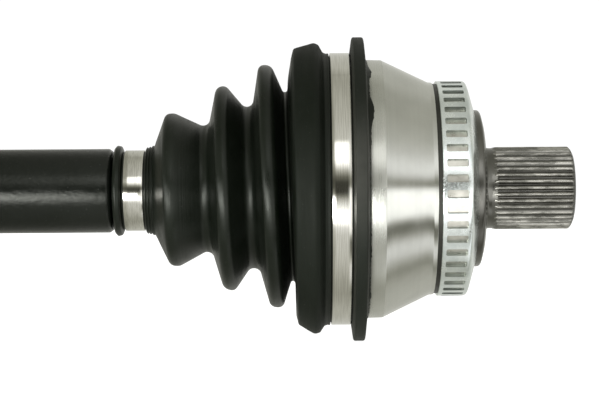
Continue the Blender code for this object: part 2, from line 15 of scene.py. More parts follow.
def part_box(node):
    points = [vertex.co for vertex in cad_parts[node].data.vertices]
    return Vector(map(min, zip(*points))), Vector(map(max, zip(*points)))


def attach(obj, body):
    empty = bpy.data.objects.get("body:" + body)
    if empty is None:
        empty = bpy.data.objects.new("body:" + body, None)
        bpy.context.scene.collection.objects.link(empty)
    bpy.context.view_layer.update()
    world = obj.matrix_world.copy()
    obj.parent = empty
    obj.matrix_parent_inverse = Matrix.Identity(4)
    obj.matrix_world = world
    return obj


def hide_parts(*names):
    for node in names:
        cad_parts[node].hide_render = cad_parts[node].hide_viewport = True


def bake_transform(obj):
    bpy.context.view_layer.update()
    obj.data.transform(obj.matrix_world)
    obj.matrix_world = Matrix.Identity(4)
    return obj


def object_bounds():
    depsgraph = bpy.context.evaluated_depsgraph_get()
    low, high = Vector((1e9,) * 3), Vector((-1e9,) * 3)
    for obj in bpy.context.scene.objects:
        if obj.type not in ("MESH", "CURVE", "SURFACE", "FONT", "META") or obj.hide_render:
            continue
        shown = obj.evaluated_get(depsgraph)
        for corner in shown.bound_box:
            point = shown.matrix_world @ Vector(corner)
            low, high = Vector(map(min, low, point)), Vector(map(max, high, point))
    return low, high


MM = 0.001
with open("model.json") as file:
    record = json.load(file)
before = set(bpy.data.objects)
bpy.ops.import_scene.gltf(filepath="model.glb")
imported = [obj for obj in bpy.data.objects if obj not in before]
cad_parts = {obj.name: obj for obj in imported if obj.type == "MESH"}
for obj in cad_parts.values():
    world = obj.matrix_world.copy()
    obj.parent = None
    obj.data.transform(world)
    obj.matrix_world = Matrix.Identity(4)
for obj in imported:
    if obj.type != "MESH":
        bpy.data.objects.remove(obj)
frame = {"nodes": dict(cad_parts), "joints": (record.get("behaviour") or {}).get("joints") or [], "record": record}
cad_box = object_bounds()
JOINTS = {joint["name"]: joint for joint in frame["joints"]}
WHEEL_X = JOINTS["outer_steer"]["pos_m"][0] / MM
TRIPOD_X = JOINTS["inner_bend"]["pos_m"][0] / MM

SHARP = 32.0  # degrees between two faces from which the edge between them is drawn sharp

BALLS = 6
BALL_RADIUS = 10.0
BALL_PITCH = 33.0  # from the axle's axis to a ball's centre
ROLLERS = 3
ROLLER_RADIUS = 12.5
ROLLER_PITCH = 24.0  # from the axle's axis to a roller's centre
CUFF_BORE = 12.95  # inner radius of a boot where it grips the bar


# --- Mesh tools ---------------------------------------------------------------------------


def fillet(corners, degrees=9.0):
    """Points along an outline whose corners are (x, r) or (x, r, fillet radius)."""
    points = []
    for i, corner in enumerate(corners):
        here = Vector(corner[:2])
        radius = corner[2] if len(corner) > 2 else 0.0
        if radius == 0.0 or i in (0, len(corners) - 1):
            points.append(here)
            continue
        before = Vector(corners[i - 1][:2]) - here
        after = Vector(corners[i + 1][:2]) - here
        longest = 0.48 * min(before.length, after.length)  # leaves room for the next corner's fillet
        before.normalize()
        after.normalize()
        half = before.angle(after) / 2
        reach = min(radius / math.tan(half), longest)
        radius = reach * math.tan(half)
        centre = here + (before + after).normalized() * (radius / math.sin(half))
        start = here + before * reach - centre
        end = here + after * reach - centre
        swing = start.angle_signed(end)
        steps = max(2, round(abs(math.degrees(swing)) / degrees))
        for k in range(steps + 1):
            points.append(centre + Matrix.Rotation(-swing * k / steps, 2) @ start)
    return points


def dense(points, spacing):
    """The same line with extra points, so that none of its steps is longer than spacing."""
    out = [points[0]]
    for a, b in zip(points, points[1:]):
        steps = max(1, math.ceil((b - a).length / spacing))
        out += [a.lerp(b, k / steps) for k in range(1, steps + 1)]
    return out


def inward(points, distance):
    """Points moved to the right of the line's direction, square to it."""
    moved = []
    for i, point in enumerate(points):
        ahead = points[min(i + 1, len(points) - 1)] - points[max(i - 1, 0)]
        ahead.normalize()
        moved.append(point + Vector((ahead.y, -ahead.x)) * distance)
    return moved


def arc(radius, first, last, steps):
    """(x, r) points of a circle about the origin, between two angles counted from its widest section."""
    angles = [math.radians(first + (last - first) * k / steps) for k in range(steps + 1)]
    return [(radius * math.sin(a), radius * math.cos(a)) for a in angles]


def circle(radius, count, cy=0.0, cz=0.0):
    """(y, z) points of a circle round (cy, cz)."""
    angles = [2 * math.pi * k / count for k in range(count)]
    return [(cy + radius * math.cos(a), cz + radius * math.sin(a)) for a in angles]


def mesh_object(name, verts, faces, material, sharp=SHARP):
    """Object whose points are given in millimetres in the frame's own axes."""
    mesh = bpy.data.meshes.new(name)
    mesh.from_pydata([Vector(v) * MM for v in verts], [], faces)
    bm = bmesh.new()
    bm.from_mesh(mesh)
    bmesh.ops.recalc_face_normals(bm, faces=bm.faces)
    bm.to_mesh(mesh)
    bm.free()
    mesh.shade_smooth()
    mesh.set_sharp_from_angle(angle=math.radians(sharp))
    if material is not None:
        mesh.materials.append(material)
    obj = bpy.data.objects.new(name, mesh)
    bpy.context.scene.collection.objects.link(obj)
    return obj


def lathe(name, outline, centre, material, turns, shape=None, turn=None, sharp=SHARP):
    """Solid of revolution of a closed (x, r) outline about the X axis, with turns facets round it.

    centre is where the outline's origin goes, or just its x when it is on the axle's axis.
    shape(x, r, angle) gives a point's own x and r. turn points the solid's axis another way.
    """
    if not isinstance(centre, Vector):
        centre = Vector((centre, 0, 0))
    verts, rings = [], []
    for x, r in outline:
        if r < 1e-6:
            rings.append([len(verts)])
            verts.append(Vector((x, 0, 0)))
            continue
        ring = []
        for k in range(turns):
            angle = 2 * math.pi * k / turns
            px, pr = shape(x, r, angle) if shape else (x, r)
            ring.append(len(verts))
            verts.append(Vector((px, pr * math.cos(angle), pr * math.sin(angle))))
        rings.append(ring)
    faces = []
    for a, b in zip(rings, rings[1:] + rings[:1]):
        if len(a) == 1 and len(b) == 1:
            continue
        for k in range(turns):
            n = (k + 1) % turns
            quad = [a[k % len(a)], a[n % len(a)], b[n % len(b)], b[k % len(b)]]
            faces.append(list(dict.fromkeys(quad)))
    if turn is not None:
        verts = [turn @ v for v in verts]
    return mesh_object(name, [v + centre for v in verts], faces, material, sharp)


def tube(verts, faces, rings):
    """Adds a closed tube through rings of points to a mesh's lists, with a flat face over each end."""
    count = len(rings[0])
    first = len(verts)
    last = first + (len(rings) - 1) * count
    for ring in rings:
        verts += ring
    faces.append([first + k for k in range(count)])
    faces.append([last + k for k in range(count)][::-1])
    for a in range(first, last, count):
        for k in range(count):
            n = (k + 1) % count
            faces.append([a + k, a + n, a + count + n, a + count + k])


def prism(name, outline, x0, x1, x=0.0, spin=0.0, copies=1):
    """Closed (y, z) outline drawn out along X from x + x0 to x + x1, in copies spaced about the axis."""
    verts, faces = [], []
    for c in range(copies):
        rotation = Matrix.Rotation(spin + 2 * math.pi * c / copies, 3, "X")
        tube(verts, faces, [[rotation @ Vector((x + end, *p)) for p in outline] for end in (x0, x1)])
    return mesh_object(name, verts, faces, None)


def boolean(obj, other, operation, crossing=False):
    """Applies a Boolean and removes the other object. crossing is for an object that cuts itself."""
    modifier = obj.modifiers.new(operation.title(), "BOOLEAN")
    modifier.operation = operation
    modifier.object = other
    modifier.solver = "EXACT"
    modifier.use_self = crossing
    evaluated = obj.evaluated_get(bpy.context.evaluated_depsgraph_get())
    mesh = bpy.data.meshes.new_from_object(evaluated)
    obj.modifiers.clear()
    obj.data = mesh
    mesh.shade_smooth()
    mesh.set_sharp_from_angle(angle=math.radians(SHARP))
    bpy.data.objects.remove(other)


def paint_faces(obj, look, chosen):
    """Gives one more material to the faces for which chosen(face) holds."""
    obj.data.materials.append(look)
    for face in obj.data.polygons:
        if chosen(face):
            face.material_index = len(obj.data.materials) - 1


def put(obj, body, slot, *nodes):
    """obj rides on a body and stands for CAD nodes; slot is not used."""
    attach(obj, body)
    if nodes:
        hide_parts(*nodes)


# --- Material tools -----------------------------------------------------------------------


class Nodes:
    """A node tree, with short calls for the nodes used here."""

    def __init__(self, tree):
        self.tree = tree

    def add(self, kind, **inputs):
        made = self.tree.nodes.new(kind)
        for key, value in inputs.items():
            self.feed(made.inputs[key.replace("_", " ")], value)
        return made

    def feed(self, socket, value):
        """Links a socket's source to it, or sets its value."""
        if isinstance(value, bpy.types.NodeSocket):
            self.tree.links.new(value, socket)
        else:
            socket.default_value = value

    def math(self, operation, a, b=0.0):
        made = self.tree.nodes.new("ShaderNodeMath")
        made.operation = operation
        self.feed(made.inputs[0], a)
        self.feed(made.inputs[1], b)
        return made.outputs[0]

    def plus(self, a, b):
        return self.math("ADD", a, b)

    def times(self, a, b):
        return self.math("MULTIPLY", a, b)

    def mix(self, share, a, b):
        """Colour between a (share 0) and b (share 1), each a socket or three numbers."""
        made = self.tree.nodes.new("ShaderNodeMix")
        made.data_type = "RGBA"
        self.feed(made.inputs["Factor"], share)
        sockets = [socket for socket in made.inputs if socket.type == "RGBA"]
        for socket, colour in zip(sockets, (a, b)):
            self.feed(socket, colour if isinstance(colour, bpy.types.NodeSocket) else (*colour, 1.0))
        return next(socket for socket in made.outputs if socket.type == "RGBA")


class Graph(Nodes):
    """A new material's nodes, with the place on the axle as x, y, z, r and angle."""

    def __init__(self, name):
        self.material = bpy.data.materials.new(name)
        self.material.use_nodes = True
        super().__init__(self.material.node_tree)
        self.shader = self.tree.nodes["Principled BSDF"]
        self.place = self.add("ShaderNodeTexCoord").outputs["Object"]
        self.x, self.y, self.z = self.add("ShaderNodeSeparateXYZ", Vector=self.place).outputs
        square = self.plus(self.times(self.y, self.y), self.times(self.z, self.z))
        self.r = self.math("SQRT", square)
        self.angle = self.math("ARCTAN2", self.z, self.y)

    def vector(self, x, y, z):
        return self.add("ShaderNodeCombineXYZ", X=x, Y=y, Z=z).outputs[0]

    def noise(self, vector, scale, detail=2.0, rough=0.5):
        made = self.add("ShaderNodeTexNoise", Vector=vector, Scale=scale, Detail=detail, Roughness=rough)
        return made.outputs["Fac"]

    def remap(self, value, low, high, to_low=0.0, to_high=1.0):
        made = self.add("ShaderNodeMapRange", Value=value)
        for socket, number in zip(made.inputs[1:5], (low, high, to_low, to_high)):
            socket.default_value = number
        return made.outputs[0]

    def bump(self, height, distance):
        return self.add("ShaderNodeBump", Height=height, Distance=distance, Strength=1.0).outputs[0]

    def lines(self, scale, detail, stray=0.15):
        """Fine rings round the axle, as a cutting tool leaves: noise that hardly changes round it."""
        wander = self.times(self.math("SINE", self.angle), stray / scale)
        return self.noise(self.vector(self.plus(self.x, wander), self.r, 0.0), scale, detail)

    def brush(self, anisotropy):
        """Spreads highlights as fine rings round the axle do."""
        tangent = self.tree.nodes.new("ShaderNodeTangent")
        tangent.direction_type = "RADIAL"
        tangent.axis = "X"
        self.shader.inputs["Anisotropic"].default_value = anisotropy
        self.shader.inputs["Anisotropic Rotation"].default_value = 0.25
        self.feed(self.shader.inputs["Tangent"], tangent.outputs[0])

    def gloss(self, level, tint):
        self.shader.inputs["Specular IOR Level"].default_value = level
        self.shader.inputs["Specular Tint"].default_value = (*tint, 1.0)

    def surface(self, colour, roughness, normal, metallic=0.0):
        """Feeds the shader's main sockets and gives back the finished material."""
        self.feed(self.shader.inputs["Base Color"], colour)
        self.feed(self.shader.inputs["Roughness"], roughness)
        self.feed(self.shader.inputs["Normal"], normal)
        self.shader.inputs["Metallic"].default_value = metallic
        return self.material


# --- Materials ----------------------------------------------------------------------------


def turned_steel(name, colour, stain, rough=(0.13, 0.22), rings=1.0, anisotropy=0.7):
    """Steel as it leaves the lathe: light spreads across the fine rings, stays sharp along them."""
    g = Graph(name)
    fine = g.lines(7000.0, 1.0)
    broad = g.lines(1300.0, 2.0)
    cloud = g.noise(g.place, 45.0, 4.0, 0.55)
    smear = g.noise(g.vector(g.times(g.x, 160.0), g.times(g.angle, 1.1), 0.0), 1.0, 3.0)
    worn = g.plus(g.times(broad, 0.22), g.times(cloud, 0.78))
    g.brush(anisotropy)
    return g.surface(
        colour=g.mix(g.remap(worn, 0.36, 0.66), stain, colour),
        roughness=g.remap(g.plus(smear, g.times(fine, 0.4)), 0.45, 0.95, *rough),
        normal=g.bump(g.plus(g.times(fine, 0.5), g.times(broad, 0.5)), 0.000018 * rings),
        metallic=1.0,
    )


def worn_spline(name):
    """Rolled teeth: dark with oil in the roots, rubbed bright in broken streaks, mostly near the end."""
    g = Graph(name)
    streak = g.noise(g.vector(g.times(g.x, 0.22), g.y, g.z), 900.0, 3.0, 0.6)
    patch = g.noise(g.vector(g.times(g.x, 0.6), g.y, g.z), 150.0, 3.0, 0.55)
    height = g.remap(g.r, 14.8 * MM, 15.5 * MM)
    near_end = g.remap(g.x, (WHEEL_X + 50.0) * MM, (WHEEL_X + 72.0) * MM, 0.0, 0.12)
    rubbed = g.remap(g.plus(g.plus(streak, patch), near_end), 0.98, 1.20)
    dull = g.mix(height, (0.10, 0.098, 0.088), (0.20, 0.197, 0.175))
    return g.surface(
        colour=g.mix(g.times(rubbed, height), dull, (0.46, 0.45, 0.41)),
        roughness=g.remap(streak, 0.35, 0.65, 0.20, 0.38),
        normal=g.bump(streak, 0.00004),
        metallic=1.0,
    )


def plain_metal(name, colour, stain, rough, grain=400.0, bump=0.00002, patches=60.0):
    """Metal with a fine grain and faintly stained patches."""
    g = Graph(name)
    cloud = g.noise(g.place, patches, 5.0, 0.6)
    fine = g.noise(g.place, grain, 3.0, 0.6)
    return g.surface(
        colour=g.mix(g.remap(cloud, 0.36, 0.66), stain, colour),
        roughness=g.remap(g.plus(cloud, fine), 0.7, 1.3, *rough),
        normal=g.bump(fine, bump),
        metallic=1.0,
    )


def rolled_strip(name):
    """Bright stainless strip: rolling lines along it, a few darker hairlines, faint waviness."""
    g = Graph(name)
    hair = g.noise(g.vector(g.x, 0.0, g.times(g.angle, 0.0015)), 2600.0, 2.0)
    cloud = g.noise(g.place, 60.0, 3.0)
    g.brush(0.5)
    return g.surface(
        colour=g.mix(g.remap(hair, 0.40, 0.58), (0.57, 0.56, 0.505), (0.67, 0.66, 0.60)),
        roughness=g.remap(cloud, 0.35, 0.65, 0.07, 0.12),
        normal=g.bump(g.plus(hair, g.times(cloud, 8.0)), 0.000004),
        metallic=1.0,
    )


def zinc(name):
    """Bright zinc plate, slightly blue, with a fine spangle."""
    g = Graph(name)
    cloud = g.noise(g.place, 160.0, 4.0, 0.6)
    grain = g.noise(g.place, 1500.0, 2.0)
    return g.surface(
        colour=g.mix(g.remap(cloud, 0.35, 0.65), (0.74, 0.80, 0.79), (0.90, 0.95, 0.93)),
        roughness=g.remap(g.plus(cloud, grain), 0.7, 1.3, 0.14, 0.30),
        normal=g.bump(g.plus(cloud, g.times(grain, 0.3)), 0.00002),
        metallic=1.0,
    )


def rubber(name, shine):
    """Moulded thermoplastic rubber: satin, almost black, with mould rings, wiped stretches and dust, and a painted
    highlight on the lip.
    """
    g = Graph(name)
    rings = g.lines(1400.0, 3.0, 0.4)
    cloud = g.noise(g.place, 55.0, 4.0, 0.6)
    wiped = g.noise(g.vector(g.x, g.r, g.times(g.angle, 0.006)), 260.0, 4.0, 0.65)
    grain = g.noise(g.place, 2600.0, 3.0, 0.7)
    specks = g.remap(g.noise(g.place, 1700.0, 1.0), 0.74, 0.80)
    black = g.mix(g.remap(cloud, 0.35, 0.7), (0.0030, 0.0046, 0.0026), (0.0060, 0.0078, 0.0054))
    dusty = g.mix(g.times(specks, 0.5), black, (0.07, 0.07, 0.065))
    # Painted highlight: the lip beside the wheel end's large clamp is painted lighter grey, most of all at its
    # front, towards the camera.
    lip = g.remap(g.x, (WHEEL_X - 7.8) * MM, (WHEEL_X - 6.8) * MM)
    facing = g.math("COSINE", g.plus(g.angle, math.pi + 0.10))
    front = g.math("POWER", g.remap(facing, 0.86, 1.0), 2.0)
    lip_highlight = g.times(g.times(lip, front), g.remap(cloud, 0.30, 0.60, 0.5, 1.0))
    # What stands out furthest is rubbed matte.
    matte = g.remap(g.r, 48.5 * MM, 52.0 * MM, 0.0, 0.24)
    g.gloss(shine, (0.96, 1.0, 0.90))
    return g.surface(
        # the lip's lighter grey mixed in here is a painted highlight
        colour=g.mix(lip_highlight, dusty, (0.038, 0.038, 0.033)),
        roughness=g.plus(g.remap(g.plus(cloud, wiped), 0.75, 1.25, 0.26, 0.44), matte),
        normal=g.bump(g.plus(g.times(grain, 0.35), rings), 0.00006),
    )


def paint(name):
    """Black enamel on a forged bar: a soft gloss with orange peel and a little dust."""
    g = Graph(name)
    peel = g.noise(g.vector(g.times(g.x, 0.6), g.y, g.z), 640.0, 4.0, 0.72)
    cloud = g.noise(g.place, 38.0, 4.0, 0.6)
    dust = g.remap(g.noise(g.place, 1300.0, 2.0), 0.70, 0.78)
    black = g.mix(g.remap(cloud, 0.35, 0.65), (0.0026, 0.0036, 0.0026), (0.0050, 0.0062, 0.0050))
    g.gloss(0.33, (0.97, 1.0, 0.90))
    return g.surface(
        colour=g.mix(g.times(dust, 0.35), black, (0.10, 0.10, 0.095)),
        roughness=g.remap(cloud, 0.35, 0.65, 0.15, 0.22),
        normal=g.bump(peel, 0.00012),
    )


def nylon(name):
    """Cream plastic with a fine grain."""
    g = Graph(name)
    grain = g.noise(g.place, 900.0, 3.0)
    return g.surface(
        colour=g.mix(grain, (0.50, 0.48, 0.42), (0.62, 0.60, 0.53)),
        roughness=0.5,
        normal=g.bump(grain, 0.00003),
    )


BELL_STEEL = turned_steel("bell_steel", (0.63, 0.635, 0.59), (0.54, 0.545, 0.505))
SHOULDER_STEEL = turned_steel(
    "shoulder_steel", (0.18, 0.178, 0.16), (0.12, 0.117, 0.105), (0.18, 0.30), rings=1.5, anisotropy=0.5
)
RIM_STEEL = turned_steel(
    "rim_steel", (0.62, 0.625, 0.575), (0.48, 0.485, 0.44), (0.22, 0.34), rings=3.0, anisotropy=0.15
)
# Painted shade: a dark strip that stands for the shade in the gap between the bell's cone and the sensor ring.
GAP_SHADE = plain_metal("painted_gap_shade", (0.075, 0.075, 0.065), (0.045, 0.045, 0.04), (0.35, 0.5))
# The seat under the sensor ring: its own beige tone, painted a little darker than the bell as shade under the
# ring.
SHADED_SEAT_STEEL = plain_metal(
    "seat_steel_and_painted_shade", (0.60, 0.59, 0.53), (0.44, 0.43, 0.38), (0.24, 0.42), grain=900.0, patches=200.0
)
SPLINE_STEEL = worn_spline("spline_steel")
FORGED_STEEL = turned_steel(
    "forged_steel", (0.46, 0.455, 0.42), (0.30, 0.29, 0.26), (0.24, 0.40), rings=1.2, anisotropy=0.5
)
DARK_STEEL = plain_metal("dark_steel", (0.30, 0.285, 0.26), (0.20, 0.19, 0.17), (0.30, 0.45))
BEARING = plain_metal(
    "bearing_steel", (0.66, 0.66, 0.65), (0.58, 0.58, 0.57), (0.06, 0.12), grain=300.0, bump=0.000002
)
ZINC = zinc("zinc_plate")
# Painted shade: the windows' cut walls are darkened to stand for the shade at the windows' edges.
WINDOW_SHADE = plain_metal("painted_window_shade", (0.40, 0.44, 0.41), (0.26, 0.29, 0.27), (0.3, 0.5))
STRIP = rolled_strip("clamp_strip")
RUBBER = rubber("boot_rubber", 0.28)
DULL_RUBBER = rubber("dull_rubber", 0.16)
PAINT = paint("shaft_paint")
NYLON = nylon("thrust_nylon")


# --- Shaft --------------------------------------------------------------------------------


def make_shaft():
    """Forged bar, painted between the boots and turned down to the splines inside both joints."""
    low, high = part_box("axle_shaft")
    start, end = low.x / MM, high.x / MM
    bar, neck, spline = 15.9, 12.7, 13.0
    wheel_bar = WHEEL_X - 97.5
    tripod_bar = TRIPOD_X + 104.0
    corners = [
        (start, 0), (start, spline - 1.0), (start + 1.0, spline),
        (TRIPOD_X + 11.5, spline), (TRIPOD_X + 11.8, neck),
        (tripod_bar - 2.4, neck, 0.8), (tripod_bar - 0.6, 14.6, 0.5), (tripod_bar + 0.9, bar, 1.0),
        (wheel_bar - 1.2, bar, 1.0), (wheel_bar, 15.0, 0.4), (wheel_bar + 0.5, neck, 0.2),
        (WHEEL_X - 21.5, neck), (WHEEL_X - 21.2, spline),
        (end - 1.0, spline), (end, spline - 1.0), (end, 0),
    ]

    def forged(x, r, angle):
        """The unmachined stretch is not quite round."""
        if r < spline + 0.5:
            return x, r
        dent = noise.noise(Vector((x * 0.06, 1.4 * math.cos(angle), 1.4 * math.sin(angle))))
        return x, r + 0.03 * dent

    shaft = lathe("shaft_bar", dense(fillet(corners), 12.0), 0.0, PAINT, 128, forged)
    put(shaft, "shaft", "shaft_paint", "axle_shaft")


# --- Wheel-end housing --------------------------------------------------------------------


def ball_tracks():
    """Cutter for the curved tracks: an ellipse swept round the joint's centre, once for each ball."""
    points, stations = 28, 22
    half_width, half_depth = 13.8, 10.7
    sweep = math.radians(41.5)
    angles = [2 * math.pi * j / points for j in range(points)]
    ellipse = [Vector((0, half_width * math.sin(a), BALL_PITCH + half_depth * math.cos(a))) for a in angles]
    centre = Vector((WHEEL_X, 0, 0))
    verts, faces = [], []
    for c in range(BALLS):
        spin = Matrix.Rotation(-math.pi / 2 + 2 * math.pi * c / BALLS, 3, "X")
        rings = []
        for k in range(stations + 1):
            tilt = Matrix.Rotation(-sweep + 2 * sweep * k / stations, 3, "Y")
            rings.append([spin @ tilt @ point + centre for point in ellipse])
        tube(verts, faces, rings)
    return mesh_object("tracks", verts, faces, None)


def make_bell():
    """Bell, seat of the sensor ring, shoulder and neck in one forging, with the ball tracks cut inside."""
    cavity = arc(31.6, -17.1, 66, 24)
    cavity_back, neck_end = 29.0, 47.0
    rim_end, cone_end, gap_shade_end, seat_end = 4.9, 23.4, 25.3, 34.8
    outside = [
        (-18.5, 40.3), (-18.5, 47.5, 0.4), (-1.6, 47.5), (-1.6, 48.7, 0.3), (-1.0, 48.9), (4.2, 48.75, 0.8),
        (21.8, 40.3, 1.2), (23.3, 40.2, 0.3), (23.5, 39.76), (25.2, 39.7), (25.3, 39.36),
        (34.7, 39.36), (34.9, 38.8), (34.9, 29.7),
        (41.1, 29.7, 1.3), (42.2, 25.5, 3.0), (42.4, 20.6), (42.4, 16.9, 0.9), (43.4, 15.5, 1.6),
        (45.0, 15.2, 1.0), (neck_end, 15.3),
    ]
    inside = [(neck_end, 0), (cavity_back, 0), (cavity_back, cavity[-1][1]), *cavity[::-1]]
    outline = dense(fillet(outside), 2.5) + [Vector(point) for point in inside]
    bell = lathe("bell", outline, WHEEL_X, BELL_STEEL, 180)
    boolean(bell, ball_tracks(), "DIFFERENCE", crossing=True)
    # Painted shade: the dark strip from the cone's end to the seat stands for the shade in the gap between the
    # bell and the sensor ring.
    zones = (
        (rim_end, RIM_STEEL), (cone_end, BELL_STEEL), (gap_shade_end, GAP_SHADE), (seat_end, SHADED_SEAT_STEEL),
        (math.inf, SHOULDER_STEEL),
    )
    bell.data.materials.clear()
    for _, look in zones:
        bell.data.materials.append(look)
    for face in bell.data.polygons:
        x = face.center.x / MM - WHEEL_X
        face.material_index = next(k for k, zone in enumerate(zones) if x < zone[0])
    put(bell, "wheel_end", "turned_steel", "outer_joint_housing")


def make_stub():
    """Splined stub: teeth with rounded tips, run-out at the neck, a turned chamfer, the hub bolt's bore."""
    teeth, per_tooth = 38, 12
    tip, root, neck = 15.6, 14.65, 15.3
    land, flank = 0.12, 0.28  # shares of the pitch, from the tip's middle
    crown, nick = 0.05, 0.03
    neck_x, teeth_x, chamfer_x, end_x = 45.4, 45.9, 73.9, 76.5
    run_out = 1.7
    bore = [(end_x, 12.6), (end_x, 9.0), (end_x - 1.9, 7.1), (end_x - 41.0, 7.0)]
    bore_bottom_x = end_x - 42.0
    count = teeth * per_tooth

    def tooth(share):
        """Radius over one pitch: 0 at the tip's middle, 0.5 at the root's middle."""
        ramp = min(max((share - land) / flank, 0.0), 1.0)
        rounded = tip - crown * min(share / land, 1.0) ** 2
        return rounded * (1 - ramp) + root * ramp

    def limit(x):
        """Largest radius that the turned end leaves: clear of the tips, then rounded off."""
        clearance, depth, bulge = 0.25, 2.9, 2.3
        past = max(x - chamfer_x, 0.0) / (end_x - chamfer_x)
        return tip + clearance - depth * past ** bulge

    def spline_radius(x, k, nicks):
        """Radius at facet k: the neck, then teeth that rise from it and end in the chamfer."""
        if x <= teeth_x:
            return neck - 0.1
        fade = min((x - teeth_x) / run_out, 1.0)
        share = abs((k / per_tooth + 0.5) % 1.0 - 0.5)
        cut = tooth(share) + (nicks[k // per_tooth] if share < 0.2 else 0.0)
        return min(cut * fade + neck * (1 - fade), limit(x))

    stations = [neck_x, teeth_x, 46.4, 46.8, 47.2, 47.6, 48.0, 54.0, 60.0, 66.0, 73.0, chamfer_x]
    stations += [74.3, 74.7, 75.0, 75.3, 75.6, 75.9, 76.2, 76.4]
    rand = random.Random(4)
    nicks = [[rand.uniform(-nick, nick) for _ in range(teeth)] for _ in stations]
    sections = [(x, [spline_radius(x, k, row) for k in range(count)]) for x, row in zip(stations, nicks)]
    sections += [(x, [radius] * count) for x, radius in bore]

    verts, faces = [], []
    for x, radii in sections:
        for k, radius in enumerate(radii):
            angle = 2 * math.pi * k / count
            verts.append((WHEEL_X + x, radius * math.cos(angle), radius * math.sin(angle)))
    last = len(verts) - count
    for a in range(0, last, count):
        for k in range(count):
            n = (k + 1) % count
            faces.append([a + k, a + n, a + count + n, a + count + k])
    for a, x in ((0, neck_x), (last, bore_bottom_x)):
        centre = len(verts)
        verts.append((WHEEL_X + x, 0, 0))
        faces += [[a + k, a + (k + 1) % count, centre] for k in range(count)]
    stub = mesh_object("splined_stub", verts, faces, SPLINE_STEEL, 40)
    put(stub, "wheel_end", "turned_steel", "outer_joint_housing")


def make_sensor_ring():
    """Plated ring pressed on behind the bell, with a row of punched windows."""
    corners = [
        (24.8, 39.4), (24.8, 40.7, 0.35), (35.6, 40.7, 1.6), (36.4, 38.4, 2.0), (38.8, 30.0), (37.7, 30.0),
        (35.3, 38.4, 0.8), (34.9, 39.4),
    ]
    ring = lathe("sensor_ring", dense(fillet(corners), 1.5), WHEEL_X, ZINC, 180)
    windows, middle = 45, 30.25
    first_window = math.pi / windows + math.radians(1.2)
    half_x, half_y, corner = 3.9, 1.45, 0.6
    cutter_radii = 37.0, 43.0
    window = []
    for side_x, side_y, first in ((1, 1, 0), (-1, 1, 90), (-1, -1, 180), (1, -1, 270)):
        for k in range(5):
            a = math.radians(first + 22.5 * k)
            window.append((
                middle + side_x * (half_x - corner) + corner * math.cos(a),
                side_y * (half_y - corner) + corner * math.sin(a),
            ))
    verts, faces = [], []
    for c in range(windows):
        spin = Matrix.Rotation(first_window + 2 * math.pi * c / windows, 3, "X")
        tube(verts, faces, [[spin @ Vector((WHEEL_X + x, y, r)) for x, y in window] for r in cutter_radii])
    boolean(ring, mesh_object("windows", verts, faces, None), "DIFFERENCE")

    def punched(face):
        """Holds for the cut walls of the windows, which are painted darker as shade."""
        outward = Vector((0, face.center.y, face.center.z)).normalized()
        near = abs(face.center.x / MM - WHEEL_X - middle) < half_x + 0.15
        return near and abs(face.normal.dot(outward)) < 0.5

    # Painted shade: the windows' walls take the darker material.
    paint_faces(ring, WINDOW_SHADE, punched)
    put(ring, "wheel_end", "zinc_plate", "abs_ring")


# --- Boots --------------------------------------------------------------------------------

OUTER_SMALL = [
    (-96.5, CUFF_BORE), (-96.5, 16.2, 0.5), (-95.6, 17.2, 0.7), (-94.0, 16.9, 0.6), (-93.1, 14.6),
    (-84.9, 14.6), (-84.7, 15.9, 0.2), (-84.3, 16.6, 0.3), (-83.8, 16.0, 0.2), (-83.3, 16.8, 0.3),
    (-82.7, 16.2, 0.2), (-82.2, 17.1, 0.3), (-81.7, 16.8, 0.2), (-81.3, 17.3, 0.8),
]
OUTER_BELLOWS = [
    (-81.3, 17.3, 0.8), (-76.4, 28.9, 2.7), (-73.1, 29.1, 3.4), (-60.7, 22.7, 2.8), (-56.8, 38.1, 3.7),
    (-53.1, 39.1, 2.5), (-44.0, 27.1, 2.7), (-39.9, 45.9, 2.6), (-35.3, 46.2, 3.5), (-31.4, 35.8, 1.3),
    (-30.0, 35.9, 0.9), (-29.8, 37.4), (-29.0, 48.6, 1.6), (-28.1, 52.3, 1.4), (-24.6, 53.82),
]
OUTER_LARGE = [
    (-24.6, 53.82), (-21.2, 55.2, 2.2), (-19.3, 54.5, 1.5), (-17.7, 51.8, 1.2),
    (-16.6, 51.4, 0.3), (-15.6, 51.5, 0.3), (-15.4, 50.4), (-7.6, 50.4), (-7.4, 52.6, 0.6),
    (-6.7, 57.5, 0.7), (-2.6, 57.5, 0.7), (-1.7, 49.2), (-1.7, 48.3),
]
OUTER_SMALL_SEAT = [(-81.6, CUFF_BORE)]
OUTER_LARGE_SEAT = [(-19.0, 48.1), (-19.4, 50.6), (-21.4, 51.6)]
# How the folds lean and ride up on the joint: (x, lean as a share of height, lift).
OUTER_LEAN = [
    (-84.0, 0.0, 0.1), (-75.0, 0.027, 0.22), (-62.0, 0.022, 0.43), (-54.0, 0.037, 0.68),
    (-46.0, 0.033, 0.87), (-38.0, 0.047, 1.3), (-31.0, 0.038, 1.15), (-29.7, 0.034, 1.1),
    (-28.9, 0.014, 1.0), (-21.0, 0.0, 0.34), (-17.0, 0.0, 0.0),
]

